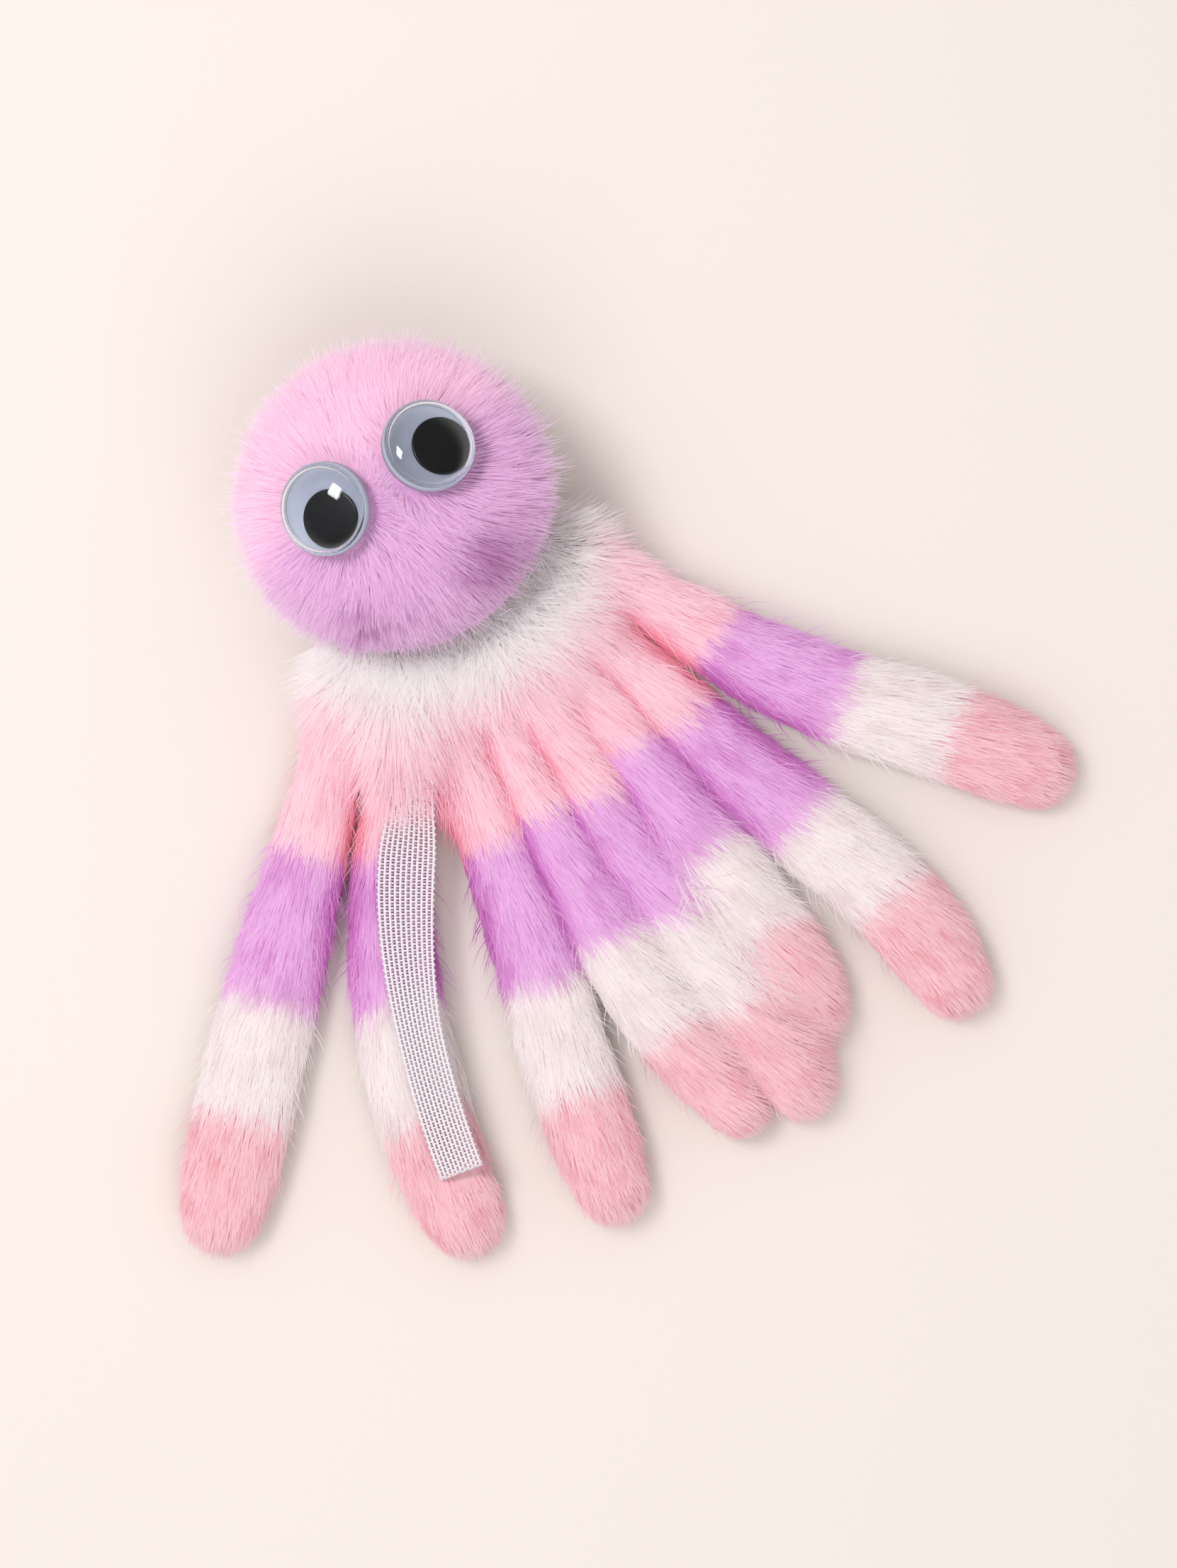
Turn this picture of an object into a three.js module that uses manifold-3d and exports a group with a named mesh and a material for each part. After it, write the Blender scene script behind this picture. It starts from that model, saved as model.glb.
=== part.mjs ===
// A plush octopus that lies on its back: a stuffed ball of long-pile fabric with two loose-pupil eyes,
// eight soft legs fanned out from the neck, and a loop of knitted elastic on the second leg.
// Units are millimetres and +Z is up. The face looks up, and the legs point towards -Y.
// The origin is on the surface that the toy lies on, under the middle of the head.

import * as THREE from 'three';
import { mergeVertices } from 'three/addons/utils/BufferGeometryUtils.js';
import Module from 'manifold-3d';

const wasm = await Module();
wasm.setup();

// Fit of the pieces
const fitGap = 0.3; // between two pieces that touch
const legGap = 0.5; // between two legs side by side
const restCut = 0.5; // how deep the surface flattens what lies on it
const cutOverrun = 4; // how far a cutting block runs past what it cuts

// Head
const headRadius = 28.5;
const coverWall = 1.2;
const mouthRadius = 3.5; // the gathered mouth that the cover is filled through
const mouthLip = 2;
const threadRadius = 0.6;

// Eyes
const eyeRadius = 9;
const glueRadius = 6.5;
const glueHeight = 0.8;
const backingHeight = 0.8;
const domeHeight = 4.6;
const domeSide = 1.4; // the straight stretch of the dome's wall
const domeWall = 0.7;
const pupilRadius = 5.65;
const pupilHeight = 0.8;
const eyes = [
  { name: 'left_eye', aside: -23, above: 7, pupilTurn: -83 },
  { name: 'right_eye', aside: 20.5, above: 8, pupilTurn: -32 },
];

// Legs, in order from the toy's left as the photograph shows it. A heading is in degrees from -Y
// towards -X, at the root, at each third of the leg and at the tip.
const rootRadius = 2.7; // the leg is drawn in round where it is sewn on
const rootHeight = 12;
const legLength = 120;
const openLegWidth = 15;
const openLegHeight = 11.5;
const pressedRiseShare = 0.4; // how much of its lost width a pressed leg gains in height
const legs = [
  { name: 'leg_1', headings: [42, 45, 44, 41], lengthShare: 1, widthShare: 1 },
  { name: 'leg_2', headings: [24, 35, 17, 5], lengthShare: 0.99, widthShare: 0.97 },
  { name: 'leg_3', headings: [12, 9, 13, 9], lengthShare: 0.975, widthShare: 0.87 },
  { name: 'leg_4', headings: [4, 4, -1, -19], lengthShare: 0.935, widthShare: 0.77 },
  { name: 'leg_5', headings: [-4, 0, -6, -9], lengthShare: 0.95, widthShare: 0.77 },
  { name: 'leg_6', headings: [-11, -7, -6, -6], lengthShare: 0.86, widthShare: 0.77 },
  { name: 'leg_7', headings: [-19, -16, -22, -1], lengthShare: 1.01, widthShare: 0.93 },
  { name: 'leg_8', headings: [-36, -28, -43, -36], lengthShare: 0.94, widthShare: 1 },
];
legs.forEach((leg) => {
  leg.length = legLength * leg.lengthShare;
  leg.width = openLegWidth * leg.widthShare;
});
// Share of the way from the root's size to the full size, at shares of the length.
const swellShares = [
  [0, 0], [0.1, 0.18], [0.2, 0.38], [0.3, 0.56], [0.4, 0.7], [0.52, 0.86], [0.66, 1], [0.84, 0.96], [1, 0.7],
];
const settleShare = 0.3; // the share of its length in which a leg comes down to the surface
const tipRoundShare = 0.55; // length of the round tip, as a share of the width there

// Elastic loop, which lies on leg 2
const tapeWidth = 8;
const tapeRootWidth = 5.2; // pinched where its ends are sewn down
const tapeThickness = 1.2;
const loopSlit = 0.6; // between the two layers
const loopStart = 14; // along leg 2, from the leg's root
const loopReach = 105;
const loopAside = 3; // to the side of the leg's middle, towards leg 3
const pinchedShare = 0.16; // the share of the loop in which it comes to its full width and place

// Faces
const legSides = 12;
const legSteps = 15;
const capRings = 3;
const tapeSteps = 22;
const foldSteps = 5;
const headTurns = 28;
const headRings = 14;
const eyeTurns = 28;
const domeRings = 5;
const threadSides = 6;

const tones = {
  pinkPile: ['#f4bccb', 0.95],
  lilacPile: ['#d9a6e2', 0.95],
  whiteFibre: ['#f5f1ec', 0.95],
  thread: ['#f1dfe2', 0.8],
  glue: ['#e9e4d8', 0.5],
  eyeBacking: ['#b6c0d6', 0.5],
  eyeDome: ['#dfe6f2', 0.1],
  pupil: ['#0b0b0d', 0.25],
  elastic: ['#f0e4ec', 0.85],
};

const headCentre = new THREE.Vector3(0, 0, headRadius - restCut);
const radians = THREE.MathUtils.degToRad;

// Solids
function solidOf(geometry) {
  const bare = geometry.index ? geometry.clone() : mergeVertices(geometry);
  bare.deleteAttribute('normal');
  bare.deleteAttribute('uv');
  const merged = mergeVertices(bare);
  const corners = merged.index.array;
  const kept = [];
  for (let i = 0; i < corners.length; i += 3) {
    const [a, b, c] = [corners[i], corners[i + 1], corners[i + 2]];
    if (a !== b && b !== c && c !== a) {
      kept.push(a, b, c);
    }
  }
  const vertProperties = new Float32Array(merged.attributes.position.array);
  return new wasm.Manifold(new wasm.Mesh({ numProp: 3, vertProperties, triVerts: new Uint32Array(kept) }));
}

function geometryOf(solid) {
  const mesh = solid.getMesh();
  const geometry = new THREE.BufferGeometry();
  geometry.setAttribute('position', new THREE.BufferAttribute(new Float32Array(mesh.vertProperties), 3));
  geometry.setIndex(new THREE.BufferAttribute(new Uint32Array(mesh.triVerts), 1));
  return geometry;
}

function pieceOf(name, geometry, [colour, roughness]) {
  const flat = geometry.index ? geometry.toNonIndexed() : geometry;
  flat.computeVertexNormals();
  const material = new THREE.MeshStandardMaterial({ color: colour, roughness, metalness: 0 });
  const mesh = new THREE.Mesh(flat, material);
  mesh.name = name;
  return mesh;
}

// A body of round sections. Each station has its centre, its sideways and upward half sizes as vectors.
// The first and last stations are the poles.
function sectionedBody(stations, sides) {
  const points = [stations[0].centre];
  for (const { centre, side, rise } of stations.slice(1, -1)) {
    for (let i = 0; i < sides; i += 1) {
      const angle = (2 * Math.PI * i) / sides;
      const point = centre.clone().addScaledVector(side, Math.cos(angle));
      points.push(point.addScaledVector(rise, Math.sin(angle)));
    }
  }
  points.push(stations.at(-1).centre);
  const triangles = [];
  const rings = stations.length - 2;
  const at = (ring, i) => 1 + ring * sides + (i % sides);
  for (let i = 0; i < sides; i += 1) {
    triangles.push(0, at(0, i + 1), at(0, i));
    triangles.push(points.length - 1, at(rings - 1, i), at(rings - 1, i + 1));
    for (let ring = 0; ring < rings - 1; ring += 1) {
      triangles.push(at(ring, i), at(ring, i + 1), at(ring + 1, i + 1));
      triangles.push(at(ring, i), at(ring + 1, i + 1), at(ring + 1, i));
    }
  }
  const geometry = new THREE.BufferGeometry().setFromPoints(points);
  geometry.setIndex(triangles);
  return geometry;
}

// The part of a table of shares that belongs to one share.
function readShares(table, share) {
  const last = table.findIndex(([place]) => place >= share);
  if (last <= 0) {
    return table.at(last)[1];
  }
  const [[placeA, valueA], [placeB, valueB]] = [table[last - 1], table[last]];
  return THREE.MathUtils.mapLinear(share, placeA, placeB, valueA, valueB);
}

// Where the legs are sewn on: side by side round the lower edge of the head.
const rootDrop = headCentre.z - rootHeight;
const rootReach = Math.sqrt((headRadius + fitGap + rootRadius) ** 2 - rootDrop ** 2);
const rootPitch = 2 * Math.asin((2 * rootRadius + legGap) / 2 / rootReach);
legs.forEach((leg, i) => {
  const turn = ((legs.length - 1) / 2 - i) * rootPitch;
  leg.root = new THREE.Vector3(-Math.sin(turn) * rootReach, -Math.cos(turn) * rootReach, rootHeight);
});

function headingAt(leg, share) {
  const spans = leg.headings.length - 1;
  const span = Math.min(Math.floor(share * spans), spans - 1);
  return radians(THREE.MathUtils.lerp(leg.headings[span], leg.headings[span + 1], share * spans - span));
}

function legSize(leg, share) {
  const swell = readShares(swellShares, THREE.MathUtils.clamp(share, 0, 1));
  const fullHeight = openLegHeight + pressedRiseShare * (openLegWidth - leg.width);
  return {
    width: THREE.MathUtils.lerp(2 * rootRadius, leg.width, swell),
    height: THREE.MathUtils.lerp(2 * rootRadius, fullHeight, swell),
  };
}

// The middle line of a leg: its place, its way along and its way aside, at a share of its length.
function legFrame(leg, share, steps = legSteps * 4) {
  const place = leg.root.clone();
  for (let i = 0; i < steps; i += 1) {
    const heading = headingAt(leg, (share * (i + 0.5)) / steps);
    const stride = (share * leg.length) / steps;
    place.x -= Math.sin(heading) * stride;
    place.y -= Math.cos(heading) * stride;
  }
  const heading = headingAt(leg, share);
  const down = THREE.MathUtils.smoothstep(share, 0, settleShare);
  place.z = THREE.MathUtils.lerp(rootHeight, legSize(leg, share).height / 2 - restCut, down);
  const along = new THREE.Vector3(-Math.sin(heading), -Math.cos(heading), 0);
  const aside = new THREE.Vector3(Math.cos(heading), -Math.sin(heading), 0);
  return { place, along, aside };
}

// A leg swells from its root, tapers to a round tip and lies on its flattened underside.
function legBody(leg, extra = 0) {
  const tipLength = tipRoundShare * legSize(leg, 1).width;
  const shaft = leg.length - tipLength;
  const up = new THREE.Vector3(0, 0, 1);
  const stations = [];
  const addStation = (share, beyond, scale) => {
    const { place, along, aside } = legFrame(leg, share);
    const { width, height } = legSize(leg, share);
    stations.push({
      centre: place.addScaledVector(along, beyond),
      side: aside.multiplyScalar((width / 2 + extra) * scale),
      rise: up.clone().multiplyScalar((height / 2 + extra) * scale),
    });
  };
  for (let i = 0; i < capRings; i += 1) {
    const angle = (Math.PI / 2) * (i / capRings);
    addStation(0, -(rootRadius + extra) * Math.cos(angle), Math.sin(angle));
  }
  for (let i = 0; i <= legSteps; i += 1) {
    addStation((shaft / leg.length) * (i / legSteps), 0, 1);
  }
  for (let i = 1; i <= capRings; i += 1) {
    const angle = (Math.PI / 2) * (i / capRings);
    addStation(shaft / leg.length, (tipLength + extra) * Math.sin(angle), Math.cos(angle));
  }
  return solidOf(sectionedBody(stations, legSides));
}

// What cuts the soft pieces: the surface under them and the head.
const longestLeg = Math.max(...legs.map((leg) => leg.length));
const floorSide = 2 * (2 * headRadius + longestLeg);
const floorBox = new THREE.BoxGeometry(floorSide, floorSide, cutOverrun);
const floorBlock = solidOf(floorBox.translate(0, 0, -cutOverrun / 2));

function headBall(radius) {
  const ball = new THREE.SphereGeometry(radius, headTurns, headRings);
  ball.rotateX(Math.PI / 2);
  return ball.translate(headCentre.x, headCentre.y, headCentre.z);
}

const group = new THREE.Group();

// Head: a gathered cover round a ball of filling, closed with a thread just below the legs' roots
const lipOuter = mouthRadius + coverWall;
const threadReach = lipOuter + fitGap + threadRadius;
const rootAway = Math.hypot(rootReach, rootDrop);
const rootsBelow = Math.asin(rootDrop / rootAway) + Math.asin(rootRadius / rootAway);
const threadSpan = Math.atan2(threadReach + threadRadius + fitGap, headRadius + mouthLip / 2);
const mouthBelow = rootsBelow + threadSpan;
const fillingRadius = headRadius - coverWall - fitGap;
const mouthWay = new THREE.Vector3(0, -Math.cos(mouthBelow), -Math.sin(mouthBelow));
const toMouth = new THREE.Quaternion().setFromUnitVectors(new THREE.Vector3(0, -1, 0), mouthWay);

function arcPoints(radius, fromAngle, toAngle, steps) {
  const points = [];
  for (let i = 0; i <= steps; i += 1) {
    const angle = THREE.MathUtils.lerp(fromAngle, toAngle, i / steps);
    points.push(new THREE.Vector2(radius * Math.sin(angle), -radius * Math.cos(angle)));
  }
  return points;
}

function coverGeometry() {
  const inner = headRadius - coverWall;
  const outline = [
    new THREE.Vector2(mouthRadius, -headRadius - mouthLip),
    new THREE.Vector2(lipOuter, -headRadius - mouthLip),
    ...arcPoints(headRadius, Math.asin(lipOuter / headRadius), Math.PI, headRings),
    ...arcPoints(inner, Math.asin(mouthRadius / inner), Math.PI, headRings).reverse(),
  ];
  outline.push(outline[0].clone());
  return new THREE.LatheGeometry(outline, headTurns);
}

function placedAtMouth(geometry) {
  geometry.applyQuaternion(toMouth);
  return geometry.translate(headCentre.x, headCentre.y, headCentre.z);
}

const cover = solidOf(placedAtMouth(coverGeometry())).subtract(floorBlock);
group.add(pieceOf('head_cover', geometryOf(cover), tones.lilacPile));

const filling = solidOf(headBall(fillingRadius));
group.add(pieceOf('head_stuffing', geometryOf(filling), tones.whiteFibre));

const threadRing = new THREE.TorusGeometry(threadReach, threadRadius, threadSides, headTurns);
threadRing.rotateX(Math.PI / 2);
threadRing.translate(0, -headRadius - mouthLip / 2, 0);
group.add(pieceOf('neck_thread', placedAtMouth(threadRing), tones.thread));

// Eyes: glue pad, backing, hollow dome and a loose pupil, each in the eye's own upright frame
const glueTop = glueHeight;
const backingBase = glueTop + fitGap;
const domeBase = backingBase + backingHeight + fitGap;
const pupilBase = domeBase;
const chamberRadius = eyeRadius - domeWall;
const pupilAside = chamberRadius - pupilRadius - fitGap;

function uprightCylinder(radius, base, height) {
  const cylinder = new THREE.CylinderGeometry(radius, radius, height, eyeTurns);
  cylinder.rotateX(Math.PI / 2);
  return cylinder.translate(0, 0, base + height / 2);
}

function domeCurve(radius, side, height) {
  const points = [new THREE.Vector2(radius, domeBase)];
  for (let i = 0; i <= domeRings; i += 1) {
    const angle = (Math.PI / 2) * (i / domeRings);
    const rise = side + (height - side) * Math.sin(angle);
    points.push(new THREE.Vector2(radius * Math.cos(angle), domeBase + rise));
  }
  return points;
}

function domeGeometry() {
  const outline = [
    ...domeCurve(eyeRadius, domeSide, domeHeight),
    ...domeCurve(chamberRadius, domeSide, domeHeight - domeWall).reverse(),
  ];
  outline.push(outline[0].clone());
  return new THREE.LatheGeometry(outline, eyeTurns).rotateX(Math.PI / 2);
}

for (const { name, aside, above, pupilTurn } of eyes) {
  const eye = new THREE.Group();
  const across = Math.sin(radians(aside));
  const along = Math.sin(radians(above));
  const facing = new THREE.Vector3(across, along, Math.sqrt(1 - across ** 2 - along ** 2));
  eye.quaternion.setFromUnitVectors(new THREE.Vector3(0, 0, 1), facing);
  eye.position.copy(headCentre).addScaledVector(facing, headRadius + fitGap);

  const pad = solidOf(uprightCylinder(glueRadius, -cutOverrun, cutOverrun + glueTop));
  const headUnder = new THREE.SphereGeometry(headRadius + fitGap, headTurns * 2, headRings * 2);
  headUnder.rotateX(Math.PI / 2).translate(0, 0, -headRadius - fitGap);
  eye.add(pieceOf(`${name}_glue_pad`, geometryOf(pad.subtract(solidOf(headUnder))), tones.glue));
  const backing = uprightCylinder(eyeRadius, backingBase, backingHeight);
  eye.add(pieceOf(`${name}_backing`, backing, tones.eyeBacking));
  eye.add(pieceOf(`${name}_dome`, geometryOf(solidOf(domeGeometry())), tones.eyeDome));
  const pupil = pieceOf(`${name}_pupil`, uprightCylinder(pupilRadius, pupilBase, pupilHeight), tones.pupil);
  pupil.position.set(pupilAside * Math.cos(radians(pupilTurn)), pupilAside * Math.sin(radians(pupilTurn)), 0);
  eye.add(pupil);
  group.add(eye);
}

// Legs: each is cut by the surface, by the head and by the leg beside it
const headRoom = solidOf(headBall(headRadius + fitGap));
legs.forEach((leg, i) => {
  let body = legBody(leg).subtract(floorBlock).subtract(headRoom);
  if (i > 0) {
    body = body.subtract(legBody(legs[i - 1], legGap));
  }
  group.add(pieceOf(leg.name, geometryOf(body), tones.pinkPile));
});

// Elastic loop: two layers of tape over leg 2, joined by the fold at its far end
const layerRise = (loopSlit + tapeThickness) / 2;

function tapeFrame(share) {
  const leg = legs[1];
  const legShare = THREE.MathUtils.lerp(loopStart, loopReach, share) / leg.length;
  const { place, along, aside } = legFrame(leg, legShare);
  const opened = THREE.MathUtils.smoothstep(share, 0, pinchedShare);
  place.addScaledVector(aside, loopAside * opened);
  place.z += legSize(leg, legShare).height / 2 + fitGap + tapeThickness + loopSlit / 2;
  return { place, along, aside, width: THREE.MathUtils.lerp(tapeRootWidth, tapeWidth, opened) };
}

function loopGeometry() {
  const sections = [];
  const addSection = ({ place, aside, width }, middle, across) => {
    const half = aside.clone().multiplyScalar(width / 2);
    const thick = across.clone().multiplyScalar(tapeThickness / 2);
    const centre = place.clone().add(middle);
    sections.push([[-1, -1], [1, -1], [1, 1], [-1, 1]].map(([sideways, outward]) => (
      centre.clone().addScaledVector(half, sideways).addScaledVector(thick, outward))));
  };
  const up = new THREE.Vector3(0, 0, 1);
  for (let i = 0; i < tapeSteps; i += 1) {
    addSection(tapeFrame(i / tapeSteps), up.clone().multiplyScalar(-layerRise), up.clone().negate());
  }
  const fold = tapeFrame(1);
  for (let i = 0; i <= foldSteps; i += 1) {
    const angle = Math.PI * (i / foldSteps);
    const outward = up.clone().multiplyScalar(-Math.cos(angle)).addScaledVector(fold.along, Math.sin(angle));
    addSection(fold, outward.clone().multiplyScalar(layerRise), outward);
  }
  for (let i = tapeSteps - 1; i >= 0; i -= 1) {
    addSection(tapeFrame(i / tapeSteps), up.clone().multiplyScalar(layerRise), up);
  }
  const triangles = [];
  const at = (section, i) => section * 4 + (i % 4);
  for (let section = 0; section < sections.length - 1; section += 1) {
    for (let i = 0; i < 4; i += 1) {
      triangles.push(at(section, i), at(section + 1, i), at(section, i + 1));
      triangles.push(at(section, i + 1), at(section + 1, i), at(section + 1, i + 1));
    }
  }
  const end = sections.length - 1;
  triangles.push(at(0, 0), at(0, 1), at(0, 2), at(0, 0), at(0, 2), at(0, 3));
  triangles.push(at(end, 0), at(end, 2), at(end, 1), at(end, 0), at(end, 3), at(end, 2));
  const geometry = new THREE.BufferGeometry().setFromPoints(sections.flat());
  geometry.setIndex(triangles);
  return geometry;
}

group.add(pieceOf('elastic_loop', loopGeometry(), tones.elastic));

export default group;
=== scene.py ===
# %% [markdown]
# # A plush octopus
# This lesson dresses a small soft toy: a ball of long pile with two loose-pupil eyes, eight striped
# soft legs and a loop of knitted elastic. The solids underneath already have the right size and place,
# so every piece here repeats their numbers, in metres, and adds what makes cloth look like cloth.

import math

import bmesh
import bpy
import numpy as np
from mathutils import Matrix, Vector


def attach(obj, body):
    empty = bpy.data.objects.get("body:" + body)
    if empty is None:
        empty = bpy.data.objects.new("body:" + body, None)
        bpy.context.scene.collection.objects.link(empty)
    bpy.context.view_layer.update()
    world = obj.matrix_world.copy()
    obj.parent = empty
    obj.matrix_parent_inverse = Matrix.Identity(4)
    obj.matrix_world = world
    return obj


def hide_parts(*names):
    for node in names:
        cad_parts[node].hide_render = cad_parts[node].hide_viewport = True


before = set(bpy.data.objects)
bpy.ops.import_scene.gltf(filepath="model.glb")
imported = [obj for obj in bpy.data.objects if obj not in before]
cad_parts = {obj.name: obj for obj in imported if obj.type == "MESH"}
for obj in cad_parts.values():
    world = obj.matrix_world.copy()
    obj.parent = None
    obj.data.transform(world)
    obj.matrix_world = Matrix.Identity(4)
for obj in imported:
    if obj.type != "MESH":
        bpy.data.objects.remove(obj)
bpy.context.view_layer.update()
mm = 0.001

# %% [markdown]
# ## Camera
# The toy lies on its back and is seen from straight above, turned by 30 degrees in the picture. A camera
# far away with a long lens keeps the plan true, so that legs and head have the same scale.

# %% Camera
frame_height = 303 * mm
camera_height = 2.5
focus_height = 20 * mm
picture_turn = math.radians(-30)
middle = (5.1 * mm, -66.7 * mm)

lens = bpy.data.cameras.new("camera")
lens.sensor_fit = "VERTICAL"
lens.sensor_height = 36
lens.lens = lens.sensor_height * (camera_height - focus_height) / frame_height
lens.clip_end = 20
camera = bpy.data.objects.new("camera", lens)
camera.location = (*middle, camera_height)
camera.rotation_euler = (0, 0, picture_turn)
bpy.context.scene.collection.objects.link(camera)
bpy.context.scene.camera = camera
to_right = Vector((math.cos(picture_turn), math.sin(picture_turn), 0))
to_top = Vector((-math.sin(picture_turn), math.cos(picture_turn), 0))
print(f"lens {lens.lens:.0f} mm, frame {frame_height / mm:.0f} mm high")

# %% [markdown]
# ## Nodes by a short hand
# Every material and every tree below is a list of nodes with values or links on their inputs. One small
# helper writes a node with its inputs, so that a tree reads from top to bottom like a recipe. The others
# stand for what comes back often, such as sums, mixes of two colours and values that a mesh carries.


# %% Helpers for any tree
def add(tree, kind, inputs=None, **settings):
    """A node with these settings, and a value or a link on each input that is named."""
    made = tree.nodes.new(kind)
    for name, value in settings.items():
        setattr(made, name, value)
    for key, value in (inputs or {}).items():
        if isinstance(value, bpy.types.NodeSocket):
            tree.links.new(value, made.inputs[key])
        else:
            made.inputs[key].default_value = value
    return made


def calculate(tree, operation, a, b):
    return add(tree, "ShaderNodeMath", {0: a, 1: b}, operation=operation).outputs[0]


def product(tree, first, *others):
    for other in others:
        first = calculate(tree, "MULTIPLY", first, other)
    return first


def stored(tree, geometry, name, value, kind="FLOAT"):
    """The geometry with this value on its points."""
    kept = {"Geometry": geometry, "Name": name, "Value": value}
    return add(tree, "GeometryNodeStoreNamedAttribute", kept, data_type=kind, domain="POINT").outputs[0]


def carried(tree, name, kind="FLOAT"):
    """What the geometry carries under this name."""
    return add(tree, "GeometryNodeInputNamedAttribute", {"Name": name}, data_type=kind).outputs[0]


# %% Helpers for materials
def linear(red, green, blue):
    """A colour written as it looks on a screen, from 0 to 255."""
    shares = [x / 255 for x in (red, green, blue)]
    return (*[x / 12.92 if x < 0.04045 else ((x + 0.055) / 1.055) ** 2.4 for x in shares], 1)


def material_with(name, **values):
    """A material, its tree and its Principled shader with these values."""
    made = bpy.data.materials.new(name)
    made.use_nodes = True
    shader = made.node_tree.nodes["Principled BSDF"]
    for key, value in values.items():
        shader.inputs[key.replace("_", " ")].default_value = value
    return made, made.node_tree, shader


def mixed(tree, share, low, high):
    """The colour low where the share is 0, and high where it is 1."""
    return add(tree, "ShaderNodeMix", {0: share, 6: low, 7: high}, data_type="RGBA").outputs[2]


def speckle(tree, shader, dark, pale, scale, detail=2.0):
    """Gives a finish a fine grain between two colours."""
    place = add(tree, "ShaderNodeTexCoord").outputs["Object"]
    grain = add(tree, "ShaderNodeTexNoise", {"Vector": place, "Scale": scale, "Detail": detail})
    tree.links.new(mixed(tree, grain.outputs["Fac"], dark, pale), shader.inputs["Base Color"])


def clear_to_lamps(tree, shader, tint):
    """Lets the rays from lamps meet a clear stand-in instead of the finish."""
    clear = add(tree, "ShaderNodeBsdfTransparent", {"Color": tint})
    lamp_ray = add(tree, "ShaderNodeLightPath").outputs["Is Shadow Ray"]
    either = add(tree, "ShaderNodeMixShader", {0: lamp_ray, 1: shader.outputs[0], 2: clear.outputs[0]})
    tree.links.new(either.outputs[0], tree.nodes["Material Output"].inputs["Surface"])


# %% [markdown]
# ## Floor and light
# A plain pale floor, a window lamp from the top left of the picture, a wide fill from its bottom and an even
# sky. The window is large, so the shadows under the legs have soft edges, and small enough to leave a clear
# spot in each eye. The fill would leave a grey veil there, so shiny and clear things don't show it.

# %% Floor
floor_reach = 6.0
paper_colour = linear(244, 234, 227)
corners = [(x * floor_reach, y * floor_reach, 0) for x, y in ((-1, -1), (1, -1), (1, 1), (-1, 1))]
floor_mesh = bpy.data.meshes.new("floor")
floor_mesh.from_pydata(corners, [], [(0, 1, 2, 3)])
floor = bpy.data.objects.new("floor", floor_mesh)
bpy.context.scene.collection.objects.link(floor)
floor_finish = material_with("floor_paper", Roughness=0.9, Base_Color=paper_colour, Specular_IOR_Level=0.1)[0]
floor.data.materials.append(floor_finish)
print("a floor of paper")

# %% Sky
sky_level, sky_tint = 0.58, (1, 0.985, 0.975, 1)
gloss_low, gloss_high, dim_from, dim_to = 0.9, 0.06, 0.15, 0.55
world = bpy.data.worlds.new("sky")
world.use_nodes = True
tree = world.node_tree
direction = add(tree, "ShaderNodeTexCoord").outputs["Generated"]
height = add(tree, "ShaderNodeSeparateXYZ", {0: direction}).outputs["Z"]
dim_above = add(tree, "ShaderNodeMapRange", {
    "Value": height, 1: dim_from, 2: dim_to, 3: gloss_low, 4: gloss_high}, interpolation_type="SMOOTHSTEP")
paths = add(tree, "ShaderNodeLightPath").outputs
seen = paths["Is Camera Ray"]
level = add(tree, "ShaderNodeMix", {0: paths["Is Glossy Ray"], 2: sky_level, 3: dim_above.outputs[0]})
strength = add(tree, "ShaderNodeMix", {0: seen, 2: level.outputs[0], 3: 1.0})
sky = tree.nodes["Background"]
tree.links.new(mixed(tree, seen, sky_tint, paper_colour), sky.inputs["Color"])
tree.links.new(strength.outputs[0], sky.inputs["Strength"])
bpy.context.scene.world = world
print("an even sky, dim overhead where something shiny shows it")


# %% Lamps
def soft_lamp(name, towards, distance, size, watts):
    light = bpy.data.lights.new(name, "AREA")
    light.shape = "RECTANGLE"
    light.size, light.size_y = size
    light.energy = watts
    lamp = bpy.data.objects.new(name, light)
    lamp.location = Vector((*middle, 0)) + towards.normalized() * distance
    lamp.rotation_euler = towards.to_track_quat("Z", "Y").to_euler()
    bpy.context.scene.collection.objects.link(lamp)
    return lamp


window_way = to_right * -0.68 + to_top * 0.42 + Vector((0, 0, 1.4))
soft_lamp("window", window_way, distance=1.0, size=(0.3, 0.22), watts=3.7)
fill_way = to_right * 0.05 + to_top * -0.65 + Vector((0, 0, 1.1))
fill = soft_lamp("fill", fill_way, distance=1.3, size=(1.4, 0.9), watts=4.4)
fill.visible_glossy = fill.visible_transmission = False
bpy.context.scene.view_settings.view_transform = "Standard"
print("a window lamp and a wide fill")

# %% [markdown]
# ## The line of a leg
# Each leg is sewn on at a root under the ball and runs down to the floor. Its heading changes a little
# along the way, so its middle line is made by walking along it in short steps. The same numbers made the
# solids, so the dressed leg lies where the solid lies.

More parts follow.
